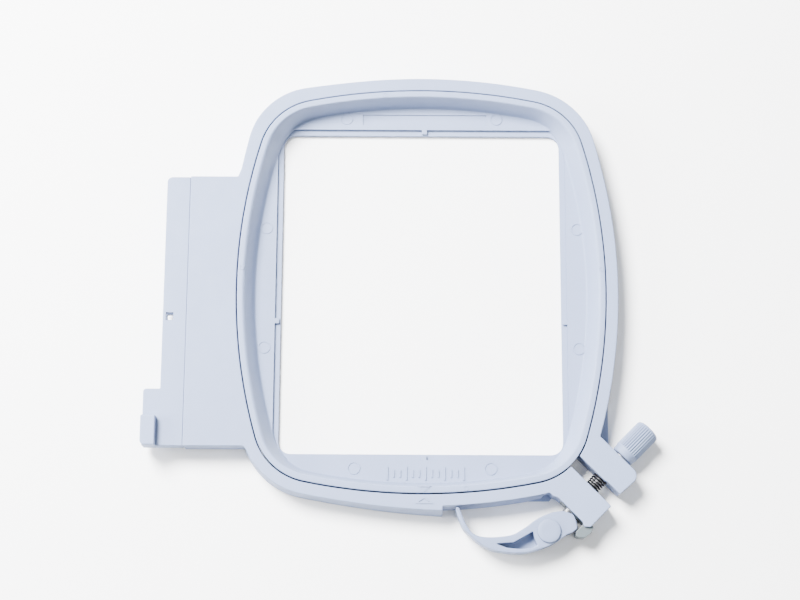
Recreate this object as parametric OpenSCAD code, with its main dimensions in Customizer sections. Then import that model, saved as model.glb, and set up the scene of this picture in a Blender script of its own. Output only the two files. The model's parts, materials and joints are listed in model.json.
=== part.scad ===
// Quick-release embroidery hoop: an inner hoop that presses fabric into a split
// outer hoop, a cam lever and a knurled screw that close the split, and a rail
// that slides into the arm of an embroidery machine.
// Millimetres. The origin is the centre of the sewing field, on the plane that
// the hoop rests on. +X points away from the machine's arm, +Y to the back, +Z up.

/* [Hoop] */
// Width of the window inside the inner hoop
window_w = 90; // [84:1:96]
// Length of the window inside the inner hoop, front to back
window_l = 105; // [98:1:110]
// How far the centre of the sewing field lies in front of the window's centre
field_shift = 9.8; // [6:0.2:12]
// Height of the outer hoop
hoop_h = 8.5; // [8:0.1:9.5]
// Height of the inner hoop's rim
rim_h = 9; // [8.6:0.1:9.8]
// Width of the outer hoop's band
band_w = 3.9; // [3:0.1:5]
// Width of the flat top of the inner hoop's rim
rim_w = 2.2; // [1.6:0.1:2.6]
// Free space between the two hoops, all round
hoop_gap = 0.3; // [0.2:0.05:0.5]

/* [Inner hoop floor] */
// Thickness of the floor
floor_t = 2.2; // [1.8:0.1:2.6]
// Thickness of the lip along the window's edge
lip_t = 1.2; // [0.8:0.1:1.6]
// Width of the lip along the window's edge
lip_w = 1.8; // [1.2:0.1:2.2]

/* [Clamp] */
// Width of the split between the two lugs
split_w = 4.2; // [3.6:0.1:4.6]
// Height of the clamp screw's axis
screw_z = 4.8; // [4.6:0.1:5]
// Radius of the clamp screw
screw_r = 1.5; // [1.4:0.05:1.6]
// Radius of the knob
knob_r = 4; // [3.6:0.1:4.3]
// Length of the knob
knob_l = 12.6; // [11:0.1:14]
// Number of flutes round the knob
knob_flutes = 30; // [20:1:36]
// Turns of wire in the clamp spring
spring_turns = 10; // [8:1:11]

/* [Mounting rail] */
// Length of the bracket and its rail, front to back
rail_l = 87.3; // [84:0.1:90]
// Width of the rail
rail_w = 7.5; // [6.5:0.1:8.5]
// Height of the grip at the rail's front end
grip_h = 11.5; // [10:0.1:12.5]

/* [Hidden] */
$fn = 64;
eps = 0.01;
plastic = [0.84, 0.86, 0.91];
steel = [0.62, 0.63, 0.65];

// The hoop's centre is the window's centre, seen from the centre of the sewing field.
hoop_centre = [-1, field_shift];

// The seam between the two hoops: half width, half length, the radii of its bowed
// sides and ends, and its corner radius. The lines below follow it at other distances.
seam = [window_w / 2 + 13.6, window_l / 2 + 13, 170, 185, 20];
wall_run_x = 3.1;
wall_run_y = 1.7;
window_corner = 4;

// The bracket and rail, from the hoop's centre.
rail_x = -81.8;
rail_back_y = 36.3;
rail_front_y = rail_back_y - rail_l;
skin_t = 2.2;
wall_t = 2;
lug_step_y = -33;
grip_back_y = -41.7;
lug_x = -87.1;
grip_w = 4.4;
rail_bottom_z = 3;
tongue_w = 10;
screw_rows = [-40, -9.8, 25];
sight_hole = [2.4, 2.5];

// The clamp, in its own frame: x along the screw towards the knob, -y outwards
// from the hoop's centre along the split.
clamp_turn = 45;
axis_v = 82.2;
split_x = -7.2;
lug_a_face = -17;
lug_b_face = 6;
lug_end = 90.4;
pivot_x = -26.3;
cam_reach = 9.3;
saddle_x = pivot_x + cam_reach;
saddle_t = 1.1;
saddle_bottom = 0.9;
saddle_top = 7.4;
notch_start = 78.4;
washer_t = 0.4;
knob_x = lug_b_face + washer_t + 0.1;
insert_r = 2.2;
insert_l = 7;
screw_end = knob_x + insert_l + 1.3;
spring_r = 2.49;
wire_r = 0.24;

// The cam lever, from its pivot. The nose is a spiral, which lets the screw go as the
// lever opens.
cam_drop = 0.6; // millimetres of screw travel for each radian of lever
nose_r = 9.2;
lever_bottom = 1;
lever_top = 8;
barrel_r = 2.5;
boss_r = 3.5;

function on(centre, r, angle) = centre + r * [cos(angle), sin(angle)];

// Centre of the corner arc that is tangent to both the bowed side and the bowed end.
function corner_centre(s) =
    let (side = [s[0] - s[2], 0], end = [0, s[1] - s[3]], step = end - side, d = norm(step),
         t = (pow(s[2] - s[4], 2) - pow(s[3] - s[4], 2) + d * d) / (2 * d),
         h = sqrt(pow(s[2] - s[4], 2) - t * t))
    side + t * step / d + h * [-step[1], step[0]] / d;

// A quarter of the bowed outline, from the +X side to the +Y end.
function quarter(s) =
    let (side = [s[0] - s[2], 0], end = [0, s[1] - s[3]], c = corner_centre(s),
         a = atan2(c[1], c[0] - side[0]), b = atan2(c[1] - end[1], c[0]))
    concat([for (i = [0:5]) on(side, s[2], a * i / 6)],
           [for (i = [0:8]) on(c, s[4], a + (b - a) * i / 8)],
           [for (i = [1:6]) on(end, s[3], b + (90 - b) * i / 6)]);

function grown(s, d) = [for (v = s) v + d];

function bowed(s) =
    let (q = quarter(s), n = len(q) - 1)
    concat(q, [for (i = [1:n]) [-q[n - i][0], q[n - i][1]]],
           [for (i = [1:n]) [-q[i][0], -q[i][1]]],
           [for (i = [1:n - 1]) [q[n - i][0], -q[n - i][1]]]);

module window_shape(grow = 0) {
    r = window_corner;
    hull()
        for (x = [-1, 1], y = [-1, 1])
            translate([x * (window_w / 2 + grow - r), y * (window_l / 2 + grow - r)])
                circle(r = r, $fn = 32);
}

module in_hoop() translate([hoop_centre[0], hoop_centre[1], 0]) children();

module in_clamp() in_hoop() rotate(clamp_turn) children();

// A cylinder along the clamp screw from x0 to x1.
module along_screw(r, x0, x1)
    translate([x0, -axis_v, screw_z]) rotate([0, 90, 0]) cylinder(r = r, h = x1 - x0);

module box(x, y, z) translate([x[0], y[0], z[0]]) cube([x[1] - x[0], y[1] - y[0], z[1] - z[0]]);

// ---- outer hoop ----

module lug_a() {
    difference() {
        linear_extrude(hoop_h)
            polygon([[split_x + 1, -74.6], [split_x + 1, -lug_end], [-16.4, -lug_end], [-17.6, -88.8],
                     [lug_a_face, -87.6], [lug_a_face, -77], [lug_a_face - 0.8, -75.5],
                     [lug_a_face - 0.8, -72.2]]);
        // Pocket for the cam saddle, open at the lug's end.
        box([-20, saddle_x + saddle_t + 0.05], [-99, -notch_start], [-1, saddle_top + 0.2]);
    }
}

module lug_b() {
    linear_extrude(hoop_h)
        polygon([[split_x + 3, -74.6], [split_x + 3, -89.8], [3.6, -90.2], [lug_b_face, -87.8],
                 [lug_b_face, -70.8]]);
}

// Thin webs that join the lugs to the hoop's foot.
module webs() {
    linear_extrude(1.6) {
        polygon([[24, -62], [24, -67], [40.3, -67], [44, -63]]);
        polygon([[54, -34], [59.2, -36], [59.2, -49.2], [50, -52]]);
    }
}

// The ramp at the hoop's front that keeps cloth off the tip of the lever.
module lever_guard() {
    hull() {
        linear_extrude(3) polygon([[-31, -66], [7, -66], [7, -71.8], [4, -71.8]]);
        linear_extrude(hoop_h - 1.5) polygon([[-31, -66], [7, -66], [7, -69.6], [4, -69.6]]);
    }
}

// The bracket is a shell, open below, with ribs.
module bracket() {
    difference() {
        box([rail_x + rail_w, -50], [rail_front_y, rail_back_y], [0.4, hoop_h]);
        box([rail_x - 1, -50], [rail_front_y + wall_t, rail_back_y - wall_t], [-1, hoop_h - skin_t]);
    }
    for (y = screw_rows)
        box([rail_x + rail_w + tongue_w, -50], [y - 0.8, y + 0.8], [1.4, hoop_h - skin_t + eps]);
}

module outer_hoop() {
    color(plastic) {
        difference() {
            union() {
                in_hoop() linear_extrude(hoop_h) polygon(bowed(grown(seam, band_w)));
                in_hoop() bracket();
                in_hoop() webs();
                in_hoop() lever_guard();
                in_clamp() lug_a();
                in_clamp() lug_b();
            }
            in_hoop() translate([0, 0, -1]) linear_extrude(hoop_h + 2)
                polygon(bowed(grown(seam, hoop_gap / 2)));
            in_clamp() box([split_x, split_x + split_w], [-99, -60], [-1, hoop_h + 1]);
            in_clamp() along_screw(screw_r + 0.2, -20, 8);
            in_clamp() along_screw(spring_r + 0.11, split_x - 2, split_x + split_w + 2);
            in_hoop()
                for (y = screw_rows)
                    translate([rail_x + rail_w + tongue_w / 2, y, hoop_h - skin_t - 1])
                        cylinder(r = 0.9, h = 2.4);
        }
        // Alignment arrow on the front of the band.
        in_hoop() translate([1, 0, hoop_h - eps]) linear_extrude(0.3 + eps)
            difference() {
                polygon([[-2.8, -68.6], [2.8, -68.6], [0, -66.4]]);
                polygon([[-1.8, -68.2], [1.8, -68.2], [0, -66.9]]);
            }
    }
}

// ---- inner hoop ----

module inner_hoop() {
    wall_foot = [seam[0] - rim_w - wall_run_x, seam[1] - rim_w - wall_run_y, 168, 182, 15];
    color(plastic) {
        in_hoop() difference() {
            linear_extrude(rim_h) polygon(bowed(grown(seam, -hoop_gap / 2)));
            hull() {
                translate([0, 0, floor_t]) linear_extrude(eps) polygon(bowed(wall_foot));
                translate([0, 0, rim_h]) linear_extrude(eps) polygon(bowed(grown(seam, -rim_w)));
            }
            translate([0, 0, -1]) linear_extrude(rim_h + 2) window_shape();
            translate([0, 0, lip_t]) linear_extrude(rim_h) window_shape(lip_w);
        }
        // Marks at the middle of the sewing field's four sides.
        for (side = [[window_w / 2 + hoop_centre[0], 0, 0], [window_w / 2 - hoop_centre[0], 0, 180],
                     [window_l / 2 + field_shift, 0, 90], [window_l / 2 - field_shift, 0, 270]])
            rotate(side[2]) box([side[0] + 0.5, side[0] + lip_w + 0.5], [-1, 1], [lip_t - eps, floor_t]);
        // The matching arrow on the rim.
        in_hoop() translate([1, 0, rim_h - eps]) linear_extrude(0.3 + eps)
            polygon([[-1.6, -63.7], [0, -65], [1.6, -63.7]]);
    }
}

// ---- mounting rail ----

module mount_rail() {
    x1 = rail_x + rail_w;
    color(plastic) in_hoop() difference() {
        union() {
            // The bar, with a rounded corner at the back.
            hull() {
                box([rail_x, x1], [rail_front_y, rail_back_y - 2], [rail_bottom_z, hoop_h - 0.1]);
                box([x1 - 1, x1], [rail_back_y - 2, rail_back_y - 0.2], [rail_bottom_z, hoop_h - 0.1]);
                translate([rail_x + 1.6, rail_back_y - 1.8, rail_bottom_z])
                    cylinder(r = 1.6, h = hoop_h - 0.1 - rail_bottom_z, $fn = 32);
            }
            // The tongue that is screwed under the bracket.
            box([x1 - eps, x1 + tongue_w], [rail_front_y + wall_t + 0.2, rail_back_y - wall_t - 0.2],
                [rail_bottom_z, hoop_h - skin_t]);
            // The foot and the raised grip at the front.
            box([lug_x, rail_x + eps], [rail_front_y, lug_step_y], [rail_bottom_z, hoop_h - 0.1]);
            box([lug_x, lug_x + grip_w], [rail_front_y, grip_back_y], [rail_bottom_z, grip_h]);
        }
        // Groove along the rail's outer side, for the arm's jaws.
        box([rail_x - 1, rail_x + 1.2], [lug_step_y + 6, rail_back_y + 1], [4.6, 6.4]);
        // Sighting hole on the sewing field's centre line.
        translate([rail_x + 2.15, -field_shift, 0])
            box([-sight_hole[0] / 2, sight_hole[0] / 2], [-sight_hole[1] / 2, sight_hole[1] / 2], [0, 20]);
        for (y = screw_rows)
            translate([x1 + tongue_w / 2, y, 0]) {
                cylinder(r = 1.15, h = 20);
                cylinder(r = 2.3, h = rail_bottom_z + 1.3);
            }
    }
}

module rail_screws() {
    color(steel) in_hoop()
        for (y = screw_rows)
            translate([rail_x + rail_w + tongue_w / 2, y, rail_bottom_z])
                difference() {
                    union() {
                        cylinder(r = 2.2, h = 1.3);
                        cylinder(r = 0.9, h = hoop_h - skin_t - rail_bottom_z + 1.3);
                    }
                    for (turn = [0, 90])
                        rotate(turn) box([-1.3, 1.3], [-0.25, 0.25], [-1, 0.7]);
                }
}

// ---- clamp ----

// The plate that the cam presses on, with a hook round the end of the lug.
module cam_saddle() {
    color([0.66, 0.69, 0.70]) in_clamp() difference() {
        union() {
            box([saddle_x, saddle_x + saddle_t], [-91, -notch_start - 0.2], [saddle_bottom, saddle_top]);
            translate([0, 0, saddle_bottom]) linear_extrude(saddle_top - saddle_bottom)
                polygon([[-20.4, -88.2], [-21.4, -89], [-21.2, -90], [-19.9, -91.5], [-17.4, -91.8],
                         [-15.6, -91.2], [-15.6, -lug_end - 0.05],
                         [saddle_x + saddle_t, -lug_end - 0.05], [saddle_x, -88.2]]);
        }
        along_screw(screw_r + 0.4, -30, 0);
    }
}

// A closed curve through the points of a list.
function spline(p, steps) =
    [for (i = [0:len(p) - 2], k = [0:steps - 1])
        let (t = k / steps, a = p[max(i - 1, 0)], b = p[i], c = p[i + 1], d = p[min(i + 2, len(p) - 1)])
        0.5 * (2 * b + (c - a) * t + (2 * a - 5 * b + 4 * c - d) * t * t
               + (3 * b - a - 3 * c + d) * t * t * t)];

// The lever's outline from its pivot: the edge that faces the hoop, the cam's nose, and the
// edge that faces away.
lever_inner = [[-28.5, 7.1], [-27.5, 6.6], [-25.7, 2.2], [-23.2, -1], [-19, -2], [-12, -1.4], [-8, 0.6],
               [-3.6, 3.7], [0.5, 5.5], [4, 6.1], [5.9, 5.75]];
lever_outer = [[6.9, -0.6], [5.4, -1.2], [1.4, -3.9], [-3.8, -5.9], [-8, -6.8], [-13, -6.7], [-17.5, -5.9],
               [-21, -4.2], [-24, -1.8], [-26.6, 1], [-28.6, 6.2], [-28.5, 7.1]];
nose_angles = [35, 8];
lever_outline = concat(spline(lever_inner, 4),
    [for (i = [0:6]) let (a = nose_angles[0] + (nose_angles[1] - nose_angles[0]) * i / 6)
        (nose_r - cam_drop * (clamp_turn - a) * PI / 180) * [cos(a), sin(a)]],
    [[8.5, 0.6], [7.9, 0.15], [7.4, -0.3]], spline(lever_outer, 4));
lever_pocket = [[-16.2, -4], [-10.9, -3.6], [-6.8, -1.3], [-4.9, -0.2], [-4.5, -2.2], [-3.6, -4.4],
                [-5, -5.2], [-9, -5.6], [-13, -5.2]];

module at_pivot() in_clamp() translate([pivot_x, -axis_v, 0]) rotate(-clamp_turn) children();

module clamp_lever() {
    color([0.80, 0.82, 0.88]) at_pivot() difference() {
        translate([0, 0, lever_bottom]) linear_extrude(lever_top - lever_bottom) polygon(lever_outline);
        translate([0, 0, -1]) cylinder(r = barrel_r + 0.05, h = 12);
        // Slot for the screw, as wide as the lever's swing.
        translate([0, 0, screw_z - screw_r - 0.2]) linear_extrude(2 * screw_r + 0.4)
            polygon([[-2.2, 2.2], [12, 16.4], [16, 0], [10, -24], [-2.4, -5.5], [-3.2, 0]]);
        translate([0, 0, 4.2]) linear_extrude(6) polygon(lever_pocket);
    }
}

module pivot_barrel() {
    color(plastic) at_pivot() difference() {
        union() {
            translate([0, 0, 0.25]) cylinder(r = barrel_r, h = 8);
            translate([0, 0, lever_top + 0.05]) cylinder(r = boss_r, h = 0.9);
        }
        // Groove for the clip.
        translate([0, 0, 0.45]) difference() {
            cylinder(r = barrel_r + 1, h = 0.45);
            cylinder(r = barrel_r - 0.5, h = 0.45);
        }
        rotate(clamp_turn) translate([-1.9, 0, screw_z]) rotate([0, 90, 0])
            cylinder(r = screw_r + 0.05, h = 9);
    }
}

module pivot_clip() {
    color(steel) at_pivot() translate([0, 0, 0.5]) difference() {
        cylinder(r = barrel_r + 1, h = 0.35);
        translate([0, 0, -1]) cylinder(r = barrel_r - 0.45, h = 3);
        box([0, 5], [-1.2, 1.2], [-1, 2]);
    }
}

module clamp_screw() {
    color(steel) in_clamp() along_screw(screw_r, pivot_x - 1.7, screw_end);
}

module knob_washer() {
    color(steel) in_clamp() difference() {
        along_screw(2.8, lug_b_face + 0.05, lug_b_face + 0.05 + washer_t);
        along_screw(screw_r + 0.1, 0, 10);
    }
}

module knob() {
    color([0.80, 0.82, 0.87]) in_clamp() difference() {
        union() {
            along_screw(knob_r - 0.2, knob_x, knob_x + 1.8);
            along_screw(knob_r, knob_x + 1.8, knob_x + knob_l - 1);
            along_screw(knob_r - 0.7, knob_x + knob_l - 1, knob_x + knob_l);
        }
        for (i = [0:knob_flutes - 1])
            translate([0, -axis_v, screw_z]) rotate([i * 360 / knob_flutes, 0, 0])
                translate([knob_x + 2.2, 0, knob_r + 0.12]) rotate([0, 90, 0])
                    cylinder(r = 0.3, h = knob_l, $fn = 16);
        along_screw(insert_r, knob_x - 1, knob_x + insert_l);
        along_screw(screw_r, knob_x, screw_end);
    }
}

// Brass sleeve that holds the screw in the knob.
module knob_insert() {
    color([0.75, 0.60, 0.32]) in_clamp() difference() {
        along_screw(insert_r, knob_x, knob_x + insert_l);
        along_screw(screw_r, knob_x - 1, screw_end);
    }
}

// A helix of round wire, swept as one closed body.
module clamp_spring() {
    coil_r = spring_r - wire_r;
    length = split_w + 3.8;
    sides = 6;
    per_turn = 18;
    rings = spring_turns * per_turn;
    points = [for (i = [0:rings], k = [0:sides - 1])
        let (turn = 360 * i / per_turn, side = 360 * k / sides, r = coil_r + wire_r * cos(side))
        [wire_r + (length - 2 * wire_r) * i / rings + wire_r * sin(side), r * cos(turn), r * sin(turn)]];
    faces = concat([[for (k = [0:sides - 1]) k]],
        [for (i = [0:rings - 1], k = [0:sides - 1])
            let (a = i * sides + k, b = i * sides + (k + 1) % sides) [b, a, a + sides, b + sides]],
        [[for (k = [sides - 1:-1:0]) rings * sides + k]]);
    color([0.35, 0.36, 0.38]) in_clamp() translate([split_x - 1.9, -axis_v, screw_z])
        polyhedron(points, faces);
}

outer_hoop();
inner_hoop();
mount_rail();
rail_screws();
cam_saddle();
clamp_lever();
pivot_barrel();
pivot_clip();
clamp_screw();
knob();
knob_insert();
knob_washer();
clamp_spring();
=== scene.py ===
"""The looks of the quick-release embroidery hoop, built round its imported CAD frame.

Lengths in the modelling code are millimetres. The hoop's own pieces are drawn from the window's
centre, and the clamp's from a frame that is turned so that x runs along its screw to the knob."""
import json
import math
from contextlib import contextmanager

import bpy
import bmesh
from mathutils import Matrix, Vector


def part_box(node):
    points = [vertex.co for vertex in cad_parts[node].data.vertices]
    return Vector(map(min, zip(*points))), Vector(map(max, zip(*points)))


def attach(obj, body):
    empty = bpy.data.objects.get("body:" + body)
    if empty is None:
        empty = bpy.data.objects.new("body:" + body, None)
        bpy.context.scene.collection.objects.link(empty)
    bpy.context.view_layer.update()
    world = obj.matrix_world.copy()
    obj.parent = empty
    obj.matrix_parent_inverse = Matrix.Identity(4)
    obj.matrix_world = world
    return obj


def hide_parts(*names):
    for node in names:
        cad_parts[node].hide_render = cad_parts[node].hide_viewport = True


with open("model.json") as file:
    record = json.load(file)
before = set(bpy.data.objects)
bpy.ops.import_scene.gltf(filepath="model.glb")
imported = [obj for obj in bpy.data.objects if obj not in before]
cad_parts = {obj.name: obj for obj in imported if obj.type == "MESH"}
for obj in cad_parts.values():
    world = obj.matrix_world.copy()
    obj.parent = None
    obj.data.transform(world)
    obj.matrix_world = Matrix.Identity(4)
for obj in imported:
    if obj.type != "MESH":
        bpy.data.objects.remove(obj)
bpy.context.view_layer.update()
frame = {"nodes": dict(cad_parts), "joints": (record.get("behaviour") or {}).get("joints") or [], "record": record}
JOINTS = {joint["name"]: joint for joint in frame["joints"]}
COUPLINGS = {pair["joint"]: pair for pair in frame["record"]["behaviour"]["couplings"]}
MM = 0.001


# ---- places and sizes ----

def box_mm(node):
    return [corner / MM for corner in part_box(node)]


INNER_LOW, INNER_HIGH = box_mm("inner_hoop")
RAIL_LOW, RAIL_HIGH = box_mm("mount_rail")
HOOP = (INNER_LOW + INNER_HIGH) / 2
FIELD = Vector((-HOOP.x, -HOOP.y))  # the sewing field's centre, seen from the hoop's
HOOP_GAP = 0.3  # between the inner and the outer hoop
SEAM_X = (INNER_HIGH.x - INNER_LOW.x) / 2 + HOOP_GAP / 2
SEAM_Y = (INNER_HIGH.y - INNER_LOW.y) / 2 + HOOP_GAP / 2
# A bowed outline is its half width, its half length, and the radii of sides, ends and corners.
SEAM = (SEAM_X, SEAM_Y, 170, 185, 20)
BAND = 3.9  # thickness of the outer hoop's band
HOOP_H = 8.5
RIM = 2.2  # thickness of the inner hoop's rim
RIM_H = 9.0
FLOOR = 2.2  # top of the inner hoop's floor
LIP = 1.2  # top of the lower lip round the window
LIP_W = 1.8
WINDOW = (45.0, 52.5)

SCREW_DIR = Vector(JOINTS["knob_turn"]["axis"])
CLAMP_TURN = math.atan2(SCREW_DIR.y, SCREW_DIR.x)
TO_HOOP = Matrix.Translation((HOOP.x, HOOP.y, 0))
TO_CLAMP = TO_HOOP @ Matrix.Rotation(CLAMP_TURN, 4, "Z")
PIVOT = TO_CLAMP.inverted() @ (Vector(JOINTS["lever_turn"]["pos_m"]) / MM)
SCREW = TO_CLAMP.inverted() @ (Vector(JOINTS["knob_turn"]["pos_m"]) / MM)
TO_PIVOT = (TO_CLAMP @ Matrix.Translation((PIVOT.x, PIVOT.y, 0))
            @ Matrix.Rotation(-CLAMP_TURN, 4, "Z"))
SCREW_R = 1.5
SPLIT = (-7.2, -3.0)  # the faces of the split between lug A, on the left, and lug B
LUG_A = -17.0
LUG_A_ROOT = -17.8
LUG_B = 6.0
LUG_END = 90.4
RAIL_X = -74.3  # where the bracket meets the rail
RAIL_Y = (-51.0, 36.3)
RAIL_SCREWS_Y = (-40, -9.8, 25)
BRACKET_ROOF = 6.3

CORNER = math.radians(35)  # edges sharper than this are bevelled
WELD = 0.002 * MM
SLIVER = 0.001 * MM
END_CLEARANCE = 0.6  # between a cut curve's end and its next point


# ---- mesh helpers ----

@contextmanager
def editing(mesh):
    bm = bmesh.new()
    bm.from_mesh(mesh)
    yield bm
    bm.to_mesh(mesh)
    bm.free()


def make(name, verts, faces, place=TO_HOOP):
    """An object from vertices in millimetres, put in place by a matrix also in millimetres."""
    mesh = bpy.data.meshes.new(name)
    mesh.from_pydata([(place @ Vector(v)) * MM for v in verts], [], faces)
    obj = bpy.data.objects.new(name, mesh)
    bpy.context.scene.collection.objects.link(obj)
    with editing(mesh) as bm:
        bmesh.ops.recalc_face_normals(bm, faces=bm.faces)
    return obj


def strip(a, b, n):
    """The faces between two closed loops of n vertices that start at a and b."""
    return [[a + i, a + (i + 1) % n, b + (i + 1) % n, b + i] for i in range(n)]


def loft(name, loops, place=TO_HOOP):
    """A closed body through loops of equally many points, capped at both ends."""
    n = len(loops[0])
    verts = [v for loop in loops for v in loop]
    faces = [list(range(n))[::-1], [len(verts) - n + i for i in range(n)]]
    for k in range(len(loops) - 1):
        faces += strip(k * n, (k + 1) * n, n)
    return make(name, verts, faces, place)


def prism(name, outline, low, high, place=TO_HOOP, foot=None):
    """An outline pulled up from low to high. foot is the outline at the bottom, if it differs."""
    bottom = [(x, y, low) for x, y in foot or outline]
    return loft(name, [bottom, [(x, y, high) for x, y in outline]], place)


def block(name, x, y, z, place=TO_HOOP):
    return prism(name, [(x[0], y[0]), (x[1], y[0]), (x[1], y[1]), (x[0], y[1])], *z, place)


def plain_radius(along, r, turn):
    return r


def lathe(name, profile, place, sides=64, radius=plain_radius):
    """A body turned about local Z from (height, radius) pairs that start and end on the axis.

    radius may change a pair's radius by height and turn, as for flutes or a thread."""
    loops = []
    for height, r in profile[1:-1]:
        loops.append([])
        for i in range(sides):
            turn = 2 * math.pi * i / sides
            reach = radius(height, r, turn)
            loops[-1].append((reach * math.cos(turn), reach * math.sin(turn), height))
    verts = [v for loop in loops for v in loop]
    first, last = len(verts), len(verts) + 1
    verts += [(0, 0, profile[0][0]), (0, 0, profile[-1][0])]
    end = (len(loops) - 1) * sides
    faces = [[first, (i + 1) % sides, i] for i in range(sides)]
    faces += [[last, end + i, end + (i + 1) % sides] for i in range(sides)]
    for k in range(len(loops) - 1):
        faces += strip(k * sides, (k + 1) * sides, sides)
    return make(name, verts, faces, place)


def along_screw(name, profile, start=0, sides=48, radius=plain_radius):
    """A body turned about the clamp screw's axis, from (x, radius) pairs counted from start."""
    place = (TO_CLAMP @ Matrix.Translation((start, SCREW.y, SCREW.z))
             @ Matrix.Rotation(math.pi / 2, 4, "Y"))
    return lathe(name, profile, place, sides, radius)


def applied(obj):
    """Puts the object's modifiers into its mesh."""
    graph = bpy.context.evaluated_depsgraph_get()
    mesh = bpy.data.meshes.new_from_object(obj.evaluated_get(graph))
    obj.modifiers.clear()
    obj.data = mesh
    return obj


def bevel_modifier(obj, width, segments=3):
    mod = obj.modifiers.new("bevel", "BEVEL")
    mod.width = width * MM
    mod.segments = segments
    mod.limit_method = "ANGLE"
    mod.angle_limit = CORNER
    return mod


def bevel(obj, width, segments=3):
    mod = bevel_modifier(obj, width, segments)
    mod.use_clamp_overlap = False
    mod.miter_outer = "MITER_ARC"
    return applied(obj)


def triangulated(obj):
    """Splits every face into triangles, so that the cuts to come meet only flat ones."""
    with editing(obj.data) as bm:
        bmesh.ops.triangulate(bm, faces=bm.faces)
    return obj


def combine(obj, operation, *others):
    """Boolean of obj with each of the others, which are used up."""
    for other in others:
        mod = obj.modifiers.new("boolean", "BOOLEAN")
        mod.operation = operation
        mod.solver = "EXACT"
        mod.object = other
        applied(obj)
        bpy.data.objects.remove(other)
    return obj


def cut(obj, *others):
    return combine(obj, "DIFFERENCE", *others)


def join(obj, *others):
    return combine(obj, "UNION", *others)


def smooth(obj, angle=32):
    """Welds the mesh, and shades it smooth but for the corners sharper than the angle."""
    with editing(obj.data) as bm:
        bmesh.ops.triangulate(bm, faces=[face for face in bm.faces if len(face.verts) > 4])
        bmesh.ops.remove_doubles(bm, verts=bm.verts, dist=WELD)
        bmesh.ops.dissolve_degenerate(bm, edges=bm.edges, dist=SLIVER)
    obj.data.shade_smooth()
    obj.data.set_sharp_from_angle(angle=math.radians(angle))
    obj.modifiers.new("normals", "WEIGHTED_NORMAL").keep_sharp = True
    return obj


# ---- outlines ----

def grown(s, d):
    """A bowed outline's numbers, for the outline that runs d outside it."""
    return tuple(v + d for v in s)


def corner_centre(s):
    """The centre of the corner's arc, which touches both the side's arc and the end's."""
    side = Vector((s[0] - s[2], 0))
    end = Vector((0, s[1] - s[3]))
    step = end - side
    d = step.length
    t = ((s[2] - s[4]) ** 2 - (s[3] - s[4]) ** 2 + d * d) / (2 * d)
    h = math.sqrt((s[2] - s[4]) ** 2 - t * t)
    step /= d
    return side + t * step + h * Vector((-step.y, step.x))


def on(centre, r, angle):
    return (centre[0] + r * math.cos(angle), centre[1] + r * math.sin(angle))


def quarter(s, fine):
    """The bowed outline's first quarter, from +X to +Y."""
    side, end, c = (s[0] - s[2], 0), (0, s[1] - s[3]), corner_centre(s)
    a = math.atan2(c.y, c.x - side[0])
    b = math.atan2(c.y - end[1], c.x)
    q = [on(side, s[2], a * i / fine) for i in range(fine)]
    q += [on(c, s[4], a + (b - a) * i / fine) for i in range(fine + 1)]
    return q + [on(end, s[3], b + (math.pi / 2 - b) * i / fine) for i in range(1, fine + 1)]


def bowed(s, fine=24):
    """The hoop's closed outline, anticlockwise from +X: bowed sides and ends, round corners."""
    q = quarter(s, fine)
    n = len(q) - 1
    left = [(-q[n - i][0], q[n - i][1]) for i in range(1, n + 1)]
    front = [(-q[i][0], -q[i][1]) for i in range(1, n + 1)]
    right = [(q[n - i][0], -q[n - i][1]) for i in range(1, n)]
    return q + left + front + right


def arc(centre, r, a0, a1, steps):
    """Points on an arc, with the angles in degrees."""
    return [on(centre, r, math.radians(a0 + (a1 - a0) * i / steps)) for i in range(steps + 1)]


def rounded_rect(x, y, r, steps=8):
    corners = [(x - r, y - r, 0), (-x + r, y - r, 90), (-x + r, -y + r, 180), (x - r, -y + r, 270)]
    return [p for cx, cy, a in corners for p in arc((cx, cy), r, a, a + 90, steps)]


def spline(p, steps):
    """A smooth curve through the points of a list, without its last point."""
    curve = []
    for i in range(len(p) - 1):
        a, b, c, d = (Vector(p[min(max(k, 0), len(p) - 1)]) for k in (i - 1, i, i + 1, i + 2))
        for k in range(steps):
            t = k / steps
            v = (2 * b + (c - a) * t + (2 * a - 5 * b + 4 * c - d) * t * t
                 + (3 * b - a - 3 * c + d) * t ** 3)
            curve.append(tuple(v / 2))
    return curve


def pulled_curve(a, b, c, steps):
    """Points of a quadratic curve from a to c that is pulled towards b."""
    points = []
    for i in range(steps + 1):
        t = i / steps
        points.append(tuple((1 - t) ** 2 * p + 2 * t * (1 - t) * q + t * t * r
                            for p, q, r in zip(a, b, c)))
    return points


def in_clamp(p):
    """A point of the hoop's plane as seen from the clamp."""
    c, s = math.cos(CLAMP_TURN), math.sin(CLAMP_TURN)
    return (p[0] * c + p[1] * s, -p[0] * s + p[1] * c)


def from_clamp(x, y):
    c, s = math.cos(CLAMP_TURN), math.sin(CLAMP_TURN)
    return (x * c - y * s, x * s + y * c)


def without(curve, hidden):
    """The rest of a closed curve once its one hidden stretch is taken out, with the cut ends."""
    n = len(curve)
    first = next(i for i in range(n) if hidden(curve[i - 1]) and not hidden(curve[i]))
    kept = []
    for k in range(n):
        p = curve[(first + k) % n]
        if hidden(p):
            break
        kept.append(p)

    def edge(inside, outside):
        a, b = Vector(inside), Vector(outside)
        for _ in range(30):
            m = (a + b) / 2
            if hidden(tuple(m)):
                b = m
            else:
                a = m
        return tuple(a)

    ends = (edge(kept[0], curve[first - 1]), edge(kept[-1], curve[(first + len(kept)) % n]))
    kept = [p for p in kept if all(math.dist(p, end) > END_CLEARANCE for end in ends)]
    return [ends[0]] + kept + [ends[1]]


# ---- materials ----

WHITE = (1, 1, 1)
# Painted shade: the dark colour that ambient occlusion darkens corners and seams towards.
CREVICE_SHADE = (0.05, 0.055, 0.075)


def tinted(color, factor):
    return tuple(min(c * factor, 1) for c in color)


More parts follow.
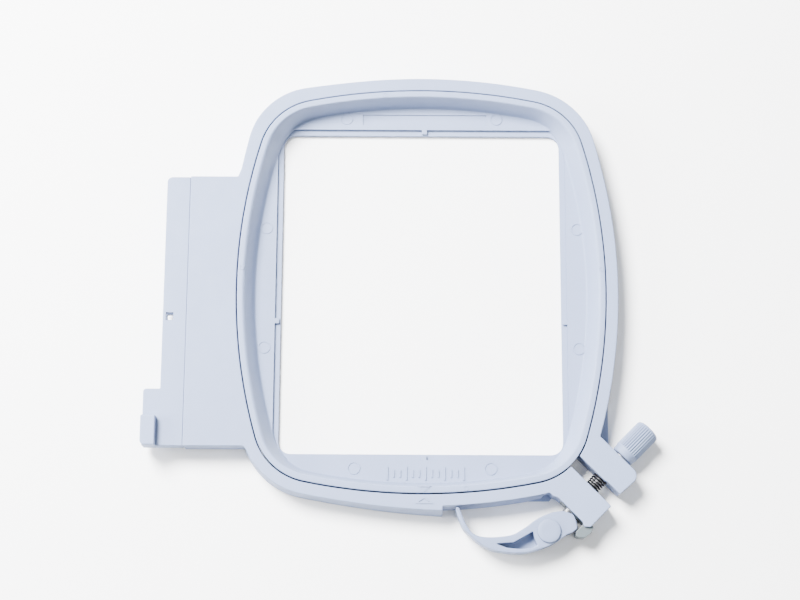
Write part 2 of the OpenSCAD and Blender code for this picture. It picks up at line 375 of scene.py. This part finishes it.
class Look:
    """A material, put together round its shader."""

    def __init__(self, name, color, roughness, metallic=0.0):
        self.material = bpy.data.materials.new(name)
        self.material.use_nodes = True
        self.material.diffuse_color = (*color, 1)
        self.nodes = self.material.node_tree.nodes
        self.links = self.material.node_tree.links
        self.inputs = self.nodes["Principled BSDF"].inputs
        self.inputs["Metallic"].default_value = metallic
        self.inputs["Roughness"].default_value = roughness
        self.coords = self.nodes.new("ShaderNodeTexCoord").outputs["Object"]

    def noise(self, scale, detail=3.0, rough=0.5, stretch=None):
        node = self.nodes.new("ShaderNodeTexNoise")
        node.inputs["Scale"].default_value = scale
        node.inputs["Detail"].default_value = detail
        node.inputs["Roughness"].default_value = rough
        coords = self.coords
        if stretch:
            mapping = self.nodes.new("ShaderNodeMapping")
            mapping.inputs["Scale"].default_value = stretch
            self.links.new(coords, mapping.inputs["Vector"])
            coords = mapping.outputs["Vector"]
        self.links.new(coords, node.inputs["Vector"])
        return node.outputs["Fac"]

    def ramp(self, source, stops):
        node = self.nodes.new("ShaderNodeValToRGB")
        self.links.new(source, node.inputs["Fac"])
        for element, (place, color) in zip(node.color_ramp.elements, stops):
            element.position = place
            element.color = (*color, 1)
        return node.outputs["Color"]

    def multiplied(self, first, second):
        node = self.nodes.new("ShaderNodeMix")
        node.data_type = "RGBA"
        node.blend_type = "MULTIPLY"
        node.inputs["Factor"].default_value = 1
        self.links.new(first, node.inputs["A"])
        self.links.new(second, node.inputs["B"])
        return node.outputs["Result"]

    def base_color(self, color):
        self.links.new(color, self.inputs["Base Color"])

    def roughness(self, source, low, high):
        """Roughness from low to high over the middle of a noise's range."""
        node = self.nodes.new("ShaderNodeMapRange")
        node.inputs["From Min"].default_value = 0.3
        node.inputs["From Max"].default_value = 0.7
        node.inputs["To Min"].default_value = low
        node.inputs["To Max"].default_value = high
        self.links.new(source, node.inputs["Value"])
        self.links.new(node.outputs["Result"], self.inputs["Roughness"])

    def bump(self, *layers):
        """Bump from (height socket, strength, depth in mm) layers, finest last."""
        previous = None
        for height, strength, depth in layers:
            node = self.nodes.new("ShaderNodeBump")
            node.inputs["Strength"].default_value = strength
            node.inputs["Distance"].default_value = depth * MM
            self.links.new(height, node.inputs["Height"])
            if previous:
                self.links.new(previous, node.inputs["Normal"])
            previous = node.outputs["Normal"]
        self.links.new(previous, self.inputs["Normal"])


def moulded(name, color, roughness=0.6):
    """Satin moulded plastic: faint flow clouds, spark-eroded grain, and painted shade that darkens its corners and
    seams.
    """
    look = Look(name, color, roughness)
    look.inputs["Specular IOR Level"].default_value = 0.28
    clouds = look.noise(45, 4, 0.6)
    grain = look.noise(5200, 2, 0.6)
    waves = look.noise(260, 3, 0.5)
    base = look.ramp(clouds, [(0.3, tinted(color, 0.965)), (0.7, tinted(color, 1.03))])
    specks = look.ramp(grain, [(0.35, tinted(WHITE, 0.955)), (0.6, WHITE)])
    # Painted shade: ambient occlusion darkens the colour in corners, seams and crevices.
    corners = look.nodes.new("ShaderNodeAmbientOcclusion")
    corners.inputs["Distance"].default_value = 0.55 * MM
    corners.samples = 8
    painted_shade = look.ramp(corners.outputs["AO"], [(0.15, CREVICE_SHADE), (0.62, WHITE)])
    look.base_color(look.multiplied(look.multiplied(base, specks), painted_shade))
    look.roughness(waves, roughness - 0.05, roughness + 0.07)
    look.bump((clouds, 0.12, 0.2), (grain, 0.25, 0.03))
    return look.material


def metal(name, color, roughness):
    """Plated or turned metal: fine scratches and cloudy tarnish."""
    look = Look(name, color, roughness, 1.0)
    clouds = look.noise(400, 4, 0.6)
    scratches = look.noise(1800, 4, stretch=(1, 1, 9))
    look.base_color(look.ramp(clouds, [(0.3, tinted(color, 0.8)), (0.7, tinted(color, 1.1))]))
    look.roughness(scratches, roughness - 0.08, roughness + 0.12)
    look.bump((scratches, 0.3, 0.02))
    return look.material


def paper(name, roughness=0.8):
    look = Look(name, (0.9, 0.9, 0.9), roughness)
    tones = [(0.3, (0.90, 0.90, 0.905)), (0.7, (0.93, 0.93, 0.93))]
    look.base_color(look.ramp(look.noise(3), tones))
    return look.material


HOOP_PLASTIC = moulded("hoop_plastic", (0.19, 0.236, 0.365))
LEVER_PLASTIC = moulded("lever_plastic", (0.165, 0.207, 0.325), 0.5)
SADDLE_GREY = moulded("saddle_grey", (0.08, 0.10, 0.11), 0.45)
STEEL = metal("steel", (0.34, 0.345, 0.36), 0.38)
BRASS = metal("brass", (0.72, 0.53, 0.25), 0.28)
SPRING_BLACK = metal("spring_black", (0.012, 0.012, 0.014), 0.5)
DARK_STEEL = metal("dark_steel", (0.12, 0.125, 0.14), 0.42)


def paint(obj, material):
    obj.data.materials.clear()
    obj.data.materials.append(material)


def finish(obj, material, body, node):
    """Gives a piece its material and its body, and hides the CAD node that it stands for."""
    paint(obj, material)
    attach(obj, body)
    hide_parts(node)


# ---- outer hoop ----

GUARD = (-31.0, 6.8)  # the stretch of the band that guards the lever
GUARD_OUT = 1.4
FLARE = 0.7  # how far the band's foot stands out of its top
SEAM_GROOVE = 0.1  # what the outer hoop gives up to show the seam
LUG_A_OUTLINE = [(LUG_A_ROOT, -75.5), (LUG_A, -77), (LUG_A, -87.6), (-17.6, -88.6), (-17.5, -89.2),
                 (-16.4, -LUG_END), (SPLIT[0], -LUG_END)]
LUG_B_OUTLINE = [(SPLIT[1], -83.6), (SPLIT[1] + 0.35, -84.2), (SPLIT[1] + 0.35, -89.8),
                 (3.6, -90.2), (4.6, -89.9), (5.4, -89.2), (5.9, -88.3), (LUG_B, -87.3)]


def guard_reach(x):
    """How far the lever guard stands out of the band at x."""
    share = (x - GUARD[0]) / (GUARD[1] - GUARD[0])
    return GUARD_OUT * share ** 1.6 if 0 < share <= 1 else 0.0


def swollen(outline):
    """The band's outer edge, which stands out along the back, most at its left corner."""
    edge = []
    for x, y in outline:
        back = min(max((y - 40) / 15, 0), 1)
        left = math.exp(-((x + 46) / 14) ** 2)
        away = Vector((x, y)).normalized() * back * (0.35 + 0.75 * left)
        edge.append((x + away.x, y + away.y))
    return edge


def outer_outline():
    """The outer hoop's outline from above, and its foot, which flares along the band."""
    def in_lugs(p):
        x, y = in_clamp(p)
        return y < 0 and LUG_A_ROOT < x < LUG_B

    def in_split(p):
        x, y = in_clamp(p)
        return y < 0 and SPLIT[0] < x < SPLIT[1]

    def in_bracket(p):
        return p[0] < 0 and RAIL_Y[0] < p[1] < RAIL_Y[1]

    outer = without(swollen(bowed(grown(SEAM, BAND))), in_lugs)
    inner = without(bowed(grown(SEAM, HOOP_GAP / 2 + SEAM_GROOVE)), in_split)[::-1]
    crest, foot = [], []

    def add(points, flare=0.0):
        for p in points:
            crest.append(tuple(p))
            away = Vector((p[0], p[1] * 0.8)).normalized() * flare
            foot.append((p[0] + away.x, p[1] + away.y))

    before = [p for p in outer if p[1] > RAIL_Y[1] or p[0] > 0 and p[1] > -50]
    after = [p for p in outer[len(before):] if not in_bracket(p)]
    back_x = min(p[0] for p in before if p[0] < 0)
    add(before[:2])
    add(before[2:-1], FLARE)
    add([(back_x - 0.6, RAIL_Y[1]), (RAIL_X, RAIL_Y[1]), (RAIL_X, RAIL_Y[0]),
         (after[0][0] - 0.5, RAIL_Y[0])])
    for p in after[1:-2]:
        reach = guard_reach(p[0])
        if reach:
            crest.append((p[0], p[1] - reach))
            foot.append((p[0], p[1] - reach - FLARE - 0.4 * reach))
        else:
            if crest[-1][0] < GUARD[1] < p[0]:
                add([(GUARD[1], crest[-1][1] - 0.05)], FLARE)
                foot[-1] = (GUARD[1], foot[-2][1])
                add([(GUARD[1], p[1])], FLARE)
            add([p], FLARE)
    add(after[-2:])
    add(from_clamp(x, y) for x, y in LUG_A_OUTLINE)
    add(inner)
    add(from_clamp(x, y) for x, y in LUG_B_OUTLINE)
    return crest, foot


def triangle_frame(tip_y, base_y, half, line, low, high):
    """A raised triangular line, as an arrow that points to the seam."""
    way = 1 if tip_y > base_y else -1
    x = -HOOP.x
    outline = [(x - half, base_y), (x + half, base_y), (x, tip_y)]
    hole = [(x - half + 2.1 * line, base_y + way * line),
            (x + half - 2.1 * line, base_y + way * line), (x, tip_y - way * 1.5 * line)]
    return cut(prism("arrow", outline, low, high), prism("hole", hole, low - 1, high + 1))


def build_outer_hoop():
    crest, foot = outer_outline()
    hoop = triangulated(bevel(prism("outer_hoop_moulding", crest, 0, HOOP_H, foot=foot), 0.32))

    hollow = bevel(block("hollow", (RAIL_X - 1, -59.5), (RAIL_Y[0] + 2, RAIL_Y[1] - 2),
                         (-1, BRACKET_ROOF)), 0.4, 2)
    cut(hollow, prism("ring_wall", bowed(grown(SEAM, BAND - 0.2)), -2, 7))
    cut(hoop, hollow)
    for y in RAIL_SCREWS_Y:
        join(hoop, block("rib", (RAIL_X + 10, -60.5 + abs(y) / 8), (y - 0.8, y + 0.8), (1.4, 6.6)))

    web_top = 1.6
    webs = [prism("web", [(24, -65), (24, -67), (40.3, -67), (43, -63)], 0, web_top),
            prism("web", [(56, -36), (59.2, -36), (59.2, -49.2), (52.5, -52)], 0, web_top)]
    join(hoop, *[bevel(web, 0.2, 2) for web in webs])

    pocket = block("pocket", (-20, LUG_A + 1.3), (-99, -78.4), (-1, 7.6), TO_CLAMP)
    bore, spring_seat = SCREW_R + 0.2, 2.6
    a, b = SPLIT[0] - 2, SPLIT[1] + 2
    screw_way = along_screw("screw_way", [(-20, 0), (-20, bore), (a, bore), (a, spring_seat),
                                          (b, spring_seat), (b, bore), (8, bore), (8, 0)])
    cut(hoop, pocket, screw_way)
    join(hoop, triangle_frame(-66.3, -68.6, 2.8, 0.45, HOOP_H - 0.2, HOOP_H + 0.22))
    finish(smooth(hoop), HOOP_PLASTIC, "outer_body", "outer_hoop")


# ---- inner hoop ----

WALL_FOOT = (SEAM_X - RIM - 3.1, SEAM_Y - RIM - 1.7, 168, 182, 15)
FLOOR_RINGS = [(-24.5, 58), (24.5, 58), (-21, -57), (22, -57), (-50, -18.5), (50.4, -18.5),
               (-50, 20.8), (50.4, 20.8)]
RIM_RINGS = [(-57.1, 6), (57.2, 6), (-12, 63.9), (14, -63.9)]
TICKS = 13
TICK_STEP = 2
TICKS_Y = -58.6


def ring(x, y, r, line, low, high, sides=48):
    """The mark of an ejector pin: a raised round line, as one closed ring."""
    loops = [[on((x, y), reach, 2 * math.pi * i / sides) + (z,) for i in range(sides)]
             for reach, z in ((r - line, low), (r, low), (r - 0.04, high), (r - line + 0.04, high))]
    faces = []
    for k in range(4):
        faces += strip(k * sides, (k + 1) % 4 * sides, sides)
    return make("pin_mark", [v for loop in loops for v in loop], faces)


def centre_tabs():
    """The tabs on the window's lip that mark the sewing field's two centre lines."""
    half = 0.85
    tabs = []
    for way in (-1, 1):
        y = way * (WINDOW[1] + LIP_W / 2 + 0.4)
        tabs.append(((FIELD.x - half, FIELD.x + half), (y - LIP_W / 2, y + LIP_W / 2)))
    for way in (-1, 1):
        x = way * (WINDOW[0] + LIP_W / 2 + 0.4)
        tabs.append(((x - LIP_W / 2, x + LIP_W / 2), (FIELD.y - half, FIELD.y + half)))
    return [bevel(block("tab", x, y, (LIP - 0.2, FLOOR - 0.02)), 0.12, 2) for x, y in tabs]


def ticks():
    """The row of ticks that stands in for the size in figures."""
    row = []
    for i in range(TICKS):
        half = 2.1 if i % 3 == 0 else 1.2
        x = -10.5 + TICK_STEP * i
        row.append(block("tick", (x - 0.25, x + 0.25), (TICKS_Y - half, TICKS_Y + half),
                         (FLOOR - 0.1, FLOOR + 0.3)))
    return row


def build_inner_hoop():
    outside = grown(SEAM, -HOOP_GAP / 2)
    rim_edge = bowed(grown(SEAM, -RIM))
    foot = bowed(WALL_FOOT)
    loops = [[(x, y, z) for x, y in bowed(grown(outside, d))]
             for d, z in [(-0.25, 0), (0, 0.25), (0, RIM_H - 0.3), (-0.09, RIM_H - 0.09),
                          (-0.3, RIM_H)]]
    drop = RIM_H - FLOOR
    wall = pulled_curve((-0.22, RIM_H), (0.02, RIM_H), (0.16, RIM_H - 0.16 * drop), 6)
    wall += pulled_curve((0.84, FLOOR + 0.16 * drop), (0.98, FLOOR + 0.02), (1.14, FLOOR), 5)
    for share, z in wall:
        loops.append([(a[0] + (b[0] - a[0]) * share, a[1] + (b[1] - a[1]) * share, z)
                      for a, b in zip(rim_edge, foot)])
    hoop = loft("inner_hoop_moulding", loops)

    window = bevel(prism("window", rounded_rect(*WINDOW, 4), -2, 20), 0.01, 1)
    lip = rounded_rect(WINDOW[0] + LIP_W, WINDOW[1] + LIP_W, 2.5)
    recess = prism("recess", lip, LIP, FLOOR + 0.6)
    slope = loft("slope", [[(x, y, LIP - 0.3) for x, y in bowed(grown(WALL_FOOT, -0.55))],
                           [(x, y, FLOOR + 1) for x, y in bowed(grown(WALL_FOOT, 0.3))]])
    combine(recess, "INTERSECT", slope)
    panel = block("panel", (-19.2, 21.2), (55.9, 59.4), (FLOOR - 0.35, FLOOR + 1))
    cut(hoop, recess, window, panel)

    marks = centre_tabs()
    marks += [ring(x, y, 2, 0.32, FLOOR - 0.1, FLOOR + 0.2) for x, y in FLOOR_RINGS]
    marks += [ring(x, y, 0.75, 0.2, RIM_H - 0.1, RIM_H + 0.12) for x, y in RIM_RINGS]
    marks += ticks()
    marks.append(triangle_frame(-65, -63.1, 2.2, 0.4, RIM_H - 0.2, RIM_H + 0.2))
    join(hoop, *marks)
    finish(smooth(hoop, 28), HOOP_PLASTIC, "inner_body", "inner_hoop")


# ---- mounting rail ----

def build_mount_rail():
    left = (RAIL_LOW - HOOP).x
    bar = left + 5.3
    foot_y, grip_y = -33.0, -41.7
    bottom, top = RAIL_LOW.z, HOOP_H - 0.12
    outline = [(RAIL_X, RAIL_Y[0]), (RAIL_X, RAIL_Y[1] - 0.3)]
    outline += arc((bar + 1.7, RAIL_Y[1] - 2.0), 1.7, 90, 180, 8)
    outline += [(bar, foot_y), (left + 0.6, foot_y), (left, foot_y - 0.6), (left, RAIL_Y[0])]
    rail = bevel(prism("mount_rail_moulding", outline, bottom, top), 0.28)

    grip_outline = [(left + 4.45, grip_y), (left - 0.15, grip_y)]
    grip_outline += arc((left + 1.35, RAIL_Y[0] + 1.4), 1.5, 180, 270, 8)
    grip_outline += [(left + 4.45, RAIL_Y[0] - 0.1)]
    grip = bevel(prism("grip", grip_outline, bottom + 0.3, RAIL_HIGH.z), 0.4, 4)
    tongue = block("tongue", (RAIL_X - 1, RAIL_X + 10), (RAIL_Y[0] + 2.2, RAIL_Y[1] - 2.2),
                   (bottom + 0.02, BRACKET_ROOF - 0.02))
    join(rail, grip, bevel(tongue, 0.25, 2))

    groove = block("groove", (bar - 1, bar + 1.2), (foot_y + 6, RAIL_Y[1] + 1), (4.6, 6.4))
    sight = block("sight", (bar + 0.95, bar + 3.35), (FIELD.y - 1.25, FIELD.y + 1.25), (0, 20))
    cut(rail, groove, bevel(sight, 0.15, 2))

    head_r, shank_r, seat = 2.3, 1.15, bottom + 1.3
    hole = [(0, 0), (0, head_r), (seat, head_r), (seat, shank_r), (20, shank_r), (20, 0)]
    for y in RAIL_SCREWS_Y:
        place = TO_HOOP @ Matrix.Translation((RAIL_X + 5, y, 0))
        cut(rail, lathe("screw_hole", hole, place, 40))
    finish(smooth(rail), HOOP_PLASTIC, "outer_body", "mount_rail")


# ---- clamp ----

LEVER_INNER = [(-28.5, 7.1), (-27.5, 6.6), (-25.7, 2.2), (-23.2, -1), (-19, -2), (-12, -1.4),
               (-8, 0.6), (-3.6, 3.7), (0.5, 5.5), (4, 6.1), (5.9, 5.75)]
LEVER_OUTER = [(6.9, -0.6), (5.4, -1.2), (1.4, -3.9), (-3.8, -5.9), (-8, -6.8), (-13, -6.7),
               (-17.5, -5.9), (-21, -4.2), (-24, -1.8), (-26.6, 1), (-28.6, 6.2), (-28.5, 7.1)]
LEVER_POCKET = [(-16.2, -4), (-10.9, -3.6), (-6.8, -1.3), (-4.9, -0.2), (-4.5, -2.2), (-3.6, -4.4),
                (-5, -5.2), (-9, -5.6), (-13, -5.2)]
LEVER_Z = (1.0, 8.0)
NOSE_R = 9.2  # the closed cam's radius along the screw, where it bears on its saddle
NOSE_ANGLES = (35, 8)
NOSE_END = [(8.65, 0.8), (8.5, 0.5), (8.25, 0.28), (7.9, 0.15), (7.4, -0.3)]
CAM_RISE = 0.6  # for each radian


def build_lever():
    steps = 12
    nose = []
    for i in range(steps + 1):
        angle = math.radians(NOSE_ANGLES[0] + (NOSE_ANGLES[1] - NOSE_ANGLES[0]) * i / steps)
        nose.append(on((0, 0), NOSE_R - CAM_RISE * (CLAMP_TURN - angle), angle))
    outline = spline(LEVER_INNER, 10) + nose + NOSE_END + spline(LEVER_OUTER, 10)
    lever = prism("clamp_lever_moulding", outline, *LEVER_Z, TO_PIVOT)
    cut(lever, prism("pocket", LEVER_POCKET, 4.2, 12, TO_PIVOT))
    bevel(lever, 0.3)

    slot_outline = [(-2.2, 2.2), (12, 16.4), (16, 0), (10, -24), (-2.4, -5.5), (-3.2, 0)]
    slot_half = SCREW_R + 0.2
    slot = prism("slot", slot_outline, SCREW.z - slot_half, SCREW.z + slot_half, TO_PIVOT)
    bore_r = 2.55
    bore = lathe("bore", [(-1, 0), (-1, bore_r), (12, bore_r), (12, 0)], TO_PIVOT, 48)
    cut(lever, slot, bore)
    finish(smooth(lever), LEVER_PLASTIC, "lever_body", "clamp_lever")


def build_barrel():
    low, high = box_mm("pivot_barrel")
    cap = LEVER_Z[1] + 0.05
    profile = [(low.z, 0), (low.z, 2.2), (low.z + 0.15, 2.45), (0.45, 2.5), (0.45, 2.0),
               (0.9, 2.0), (0.9, 2.5), (cap, 2.5), (cap, 3.5), (cap + 0.1, 3.6),
               (high.z - 0.35, 3.6), (high.z - 0.1, 3.5), (high.z, 3.25), (high.z - 0.02, 2.0),
               (high.z - 0.03, 0)]
    barrel = lathe("pivot_barrel_turned", profile, TO_PIVOT, 96)
    bore = SCREW_R + 0.05
    start, end = PIVOT.x - 1.9, PIVOT.x + 6
    cut(barrel, along_screw("bore", [(start, 0), (start, bore), (end, bore), (end, 0)]))
    finish(smooth(barrel), LEVER_PLASTIC, "barrel_body", "pivot_barrel")


def build_knob():
    length = 12.6
    flutes = 30
    profile = [(7, 0), (7, 2.2), (0, 2.2), (0, 3.2), (0.12, 3.5), (0.45, 3.75), (1.9, 3.85),
               (2.1, 3.95), (2.4, 4.0), (2.8, 4.0), (length - 1.5, 4.0), (length - 1.1, 4.0),
               (length - 0.8, 3.9), (length - 0.45, 3.65), (length - 0.2, 3.2),
               (length - 0.05, 2.4), (length, 1.2), (length, 0)]

    def fluted(along, r, turn):
        depth = 0.4 if 2.5 < along < length - 0.9 and r > 3.8 else 0
        return r - depth * (0.5 + 0.5 * math.cos(flutes * turn)) ** 2

    knob = along_screw("knob_moulding", profile, LUG_B + 0.5, flutes * 10, fluted)
    finish(smooth(knob, 40), LEVER_PLASTIC, "knob_body", "knob")


def build_screw():
    """The clamp screw with its thread, whose pitch is the one that the joints feed by."""
    pitch = 2 * math.pi / COUPLINGS["knob_turn"]["ratio"] / MM
    start, end = PIVOT.x - 1.7, LUG_B + 7.4
    per_turn = 8
    steps = int((end - start) / pitch * per_turn)
    heights = [pitch / per_turn * i for i in range(steps + 1)]
    depth, plain_end = 0.14, 0.15

    def thread(along, r, turn):
        if along < plain_end or along > steps * pitch / per_turn - plain_end:
            return r
        return r - depth * (0.5 + 0.5 * math.cos(2 * math.pi * along / pitch - turn))

    profile = [(0, 0), (0, SCREW_R - 0.3)] + [(h, SCREW_R) for h in heights[1:-1]]
    profile += [(heights[-1], SCREW_R - 0.2), (heights[-1], 0)]
    screw = along_screw("clamp_screw_threaded", profile, start, 32, thread)
    finish(smooth(screw, 50), STEEL, "knob_body", "clamp_screw")


def build_spring():
    """A compression spring with closed ends, as one swept wire."""
    wire, coil, turns = 0.24, 2.25, 10
    start, end = SPLIT[0] - 1.9, SPLIT[1] + 1.9
    sides, per_turn = 12, 32
    closed = 2 * wire
    pitch = (end - start - 2 * wire - 2 * closed) / (turns - 2)
    loops = []
    for i in range(turns * per_turn + 1):
        turn = i / per_turn
        along = (closed * min(turn, 1) + pitch * min(max(turn - 1, 0), turns - 2)
                 + closed * max(turn - turns + 1, 0))
        angle = 2 * math.pi * turn
        loop = []
        for k in range(sides):
            side = 2 * math.pi * k / sides
            r = coil + wire * math.cos(side)
            loop.append((start + wire + along + wire * math.sin(side),
                         SCREW.y + r * math.cos(angle), SCREW.z + r * math.sin(angle)))
        loops.append(loop)
    spring = loft("clamp_spring_wire", loops, TO_CLAMP)
    finish(smooth(spring, 60), SPRING_BLACK, "outer_body", "clamp_spring")


def dress_cad_nodes():
    """Keeps the small CAD pieces, with eased edges and their own materials."""
    looks = {"rail_screws": (STEEL, 0.08), "cam_saddle": (SADDLE_GREY, 0.22),
             "pivot_clip": (STEEL, 0.05), "knob_insert": (BRASS, 0.1),
             "knob_washer": (DARK_STEEL, 0.08)}
    for node, (material, width) in looks.items():
        obj = frame["nodes"][node]
        paint(obj, material)
        obj.modifiers.new("weld", "WELD").merge_threshold = WELD
        bevel_modifier(obj, width)
        obj.modifiers.new("normals", "WEIGHTED_NORMAL").keep_sharp = True


# ---- stage ----

CAMERA_AIM = (-6.76, -2.64, 1.2)  # from the hoop's centre, on the ground
CAMERA_TILT = 12.5
CAMERA_ROLL = 0.295
CAMERA_DISTANCE = 546.2
CAMERA_LENS = 76.5


def build_stage():
    bpy.ops.mesh.primitive_plane_add(size=6, location=(0, 0, -0.2 * MM))
    floor = bpy.context.object
    floor.name = "floor"
    floor.data.materials.append(paper("floor_paper"))


def area_light(name, place, size, power):
    """A round white light in metres and watts, turned to the part."""
    light = bpy.data.lights.new(name, "AREA")
    light.shape = "DISK"
    light.size = size
    light.energy = power
    obj = bpy.data.objects.new(name, light)
    bpy.context.scene.collection.objects.link(obj)
    obj.location = place
    obj.rotation_euler = (-Vector(place)).to_track_quat("-Z", "Y").to_euler()


def build_lights():
    world = bpy.data.worlds.new("studio")
    bpy.context.scene.world = world
    world.use_nodes = True
    background = world.node_tree.nodes["Background"]
    background.inputs["Color"].default_value = (0.94, 0.97, 1, 1)
    background.inputs["Strength"].default_value = 0.6
    area_light("key", (-0.40, 0.42, 0.76), 0.45, 78)
    area_light("side", (-0.7, 0.02, 0.3), 0.4, 12)
    area_light("fill", (0.5, -0.4, 0.9), 0.8, 5)


def build_camera():
    """The camera looks down on the hoop from the front, a little off the vertical."""
    x, y, z = CAMERA_AIM
    aim = Vector((HOOP.x + x, HOOP.y + y, z)) * MM
    tilt = math.radians(CAMERA_TILT)
    back = Vector((0, -math.sin(tilt), math.cos(tilt)))
    data = bpy.data.cameras.new("camera")
    data.lens = CAMERA_LENS
    data.sensor_width = 36
    camera = bpy.data.objects.new("camera", data)
    bpy.context.scene.collection.objects.link(camera)
    turn = back.to_track_quat("Z", "Y").to_matrix().to_4x4()
    roll = Matrix.Rotation(math.radians(CAMERA_ROLL), 4, "Z")
    camera.matrix_world = Matrix.Translation(aim + back * (CAMERA_DISTANCE * MM)) @ turn @ roll
    bpy.context.scene.camera = camera


build_camera()
build_outer_hoop()
build_inner_hoop()
build_mount_rail()
build_lever()
build_barrel()
build_knob()
build_screw()
build_spring()
dress_cad_nodes()
build_stage()
build_lights()
